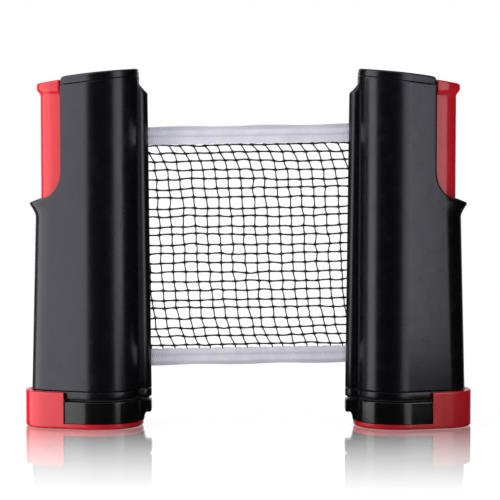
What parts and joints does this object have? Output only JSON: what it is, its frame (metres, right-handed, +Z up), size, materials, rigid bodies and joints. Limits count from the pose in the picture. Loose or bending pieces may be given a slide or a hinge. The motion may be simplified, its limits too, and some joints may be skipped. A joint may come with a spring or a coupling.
{
  "type": "table tennis net clamp",
  "caption": "Retractable table tennis net on a pair of teardrop clamp posts; thumb-pressed sliding feet grip the table edge and the net winds onto a sprung roller.",
  "frame": {"origin": "centre of the overall footprint, on the surface that the two red feet stand on", "axes": "+X along the net towards the right post, +Y towards the back, +Z up"},
  "size_m": [0.2794, 0.0498, 0.223],
  "materials": {
    "casing": "satin black moulded ABS with a fine spark texture",
    "red_plastic": "semi-gloss red moulded ABS",
    "jaw_rubber": "smooth black rubber",
    "steel": "bright zinc-plated steel",
    "nylon": "natural nylon",
    "net_string": "black knotted polyester string",
    "net_tape": "pale folded cotton-blend tape with a stitched edge"
  },
  "bodies": {
    "left_post": {"left_front_shell": "casing", "left_rear_shell": "casing", "left_top_cap": "casing", "left_bottom_cover": "casing", "left_upper_jaw_pad": "jaw_rubber", "left_shell_screw_1": "steel", "left_shell_screw_2": "steel", "left_shell_screw_3": "steel", "left_shell_screw_4": "steel", "left_clamp_spring": "steel", "roller_axle": "steel", "bottom_bush": "nylon", "top_bush": "nylon", "spring_collar": "steel", "retract_spring": "steel"},
    "left_clamp": {"left_clamp_foot": "red_plastic", "left_clamp_column": "red_plastic", "left_jaw_block": "jaw_rubber", "left_foot_screw_1": "steel", "left_foot_screw_2": "steel", "left_foot_screw_3": "steel", "left_foot_screw_4": "steel"},
    "roller": {"roller_tube": "steel", "roller_bottom_plug": "nylon", "roller_top_plug": "nylon", "net_roll": "net_string"},
    "right_post": {"right_front_shell": "casing", "right_rear_shell": "casing", "right_top_cap": "casing", "right_bottom_cover": "casing", "right_upper_jaw_pad": "jaw_rubber", "right_shell_screw_1": "steel", "right_shell_screw_2": "steel", "right_shell_screw_3": "steel", "right_shell_screw_4": "steel", "right_clamp_spring": "steel", "net_end_bar": "steel", "net_mesh": "net_string", "net_top_tape": "net_tape", "net_bottom_tape": "net_tape"},
    "right_clamp": {"right_clamp_foot": "red_plastic", "right_clamp_column": "red_plastic", "right_jaw_block": "jaw_rubber", "right_foot_screw_1": "steel", "right_foot_screw_2": "steel", "right_foot_screw_3": "steel", "right_foot_screw_4": "steel"}
  },
  "joints": [
    {"name": "left_clamp_slide", "type": "slide", "parent": "left_post", "child": "left_clamp", "axis": [0, 0, -1], "range_m": [0, 0.05], "stiffness_N_per_m": 1000, "springref_m": -0.015, "deforming": ["left_clamp_spring"]},
    {"name": "right_clamp_slide", "type": "slide", "parent": "right_post", "child": "right_clamp", "axis": [0, 0, -1], "range_m": [0, 0.05], "stiffness_N_per_m": 1000, "springref_m": -0.015, "deforming": ["right_clamp_spring"]},
    {"name": "net_extend", "type": "slide", "parent": "left_post", "child": "right_post", "axis": [1, 0, 0], "range_m": [-0.119, 1.61], "stiffness_N_per_m": 1, "springref_m": -0.5, "deforming": ["net_mesh", "net_top_tape", "net_bottom_tape", "net_roll"]},
    {"name": "roller_spin", "type": "hinge", "parent": "left_post", "child": "roller", "pos_m": [-0.0902, 0, 0], "axis": [0, 0, 1], "range_deg": [-560, 7520]}
  ],
  "couplings": [
    {"joint": "roller_spin", "follows": "net_extend", "rad_per_m": 81.4}
  ]
}
